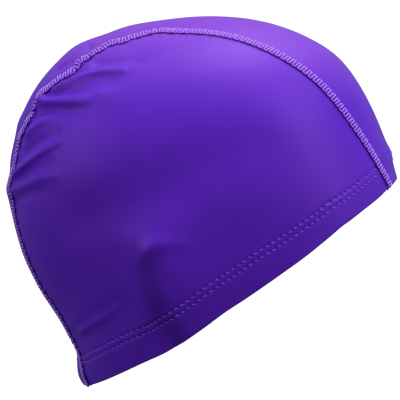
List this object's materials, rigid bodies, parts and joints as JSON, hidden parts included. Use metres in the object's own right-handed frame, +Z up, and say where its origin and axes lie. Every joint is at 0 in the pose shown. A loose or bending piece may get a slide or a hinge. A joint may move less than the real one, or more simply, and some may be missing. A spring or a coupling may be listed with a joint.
{
  "type": "swim cap",
  "caption": "Swim cap of stretch knit in its worn form: centre and side panels joined by raised overlocked seams, a turned-up stitched hem, and an open hollow below for the head.",
  "frame": {"origin": "where the top of the wearer's head meets the inside of the crown", "axes": "+Z up, -Y towards the forehead, +X towards the wearer's left"},
  "size_m": [0.1606, 0.1946, 0.1835],
  "materials": {
    "knit_cloth": "smooth violet stretch knit with a slight sheen",
    "seam_thread": "paler violet overlock thread"
  },
  "bodies": {
    "root": {"centre_panel": "knit_cloth", "side_panel_right": "knit_cloth", "side_panel_left": "knit_cloth", "seam_right": "seam_thread", "seam_left": "seam_thread"}
  },
  "joints": []
}
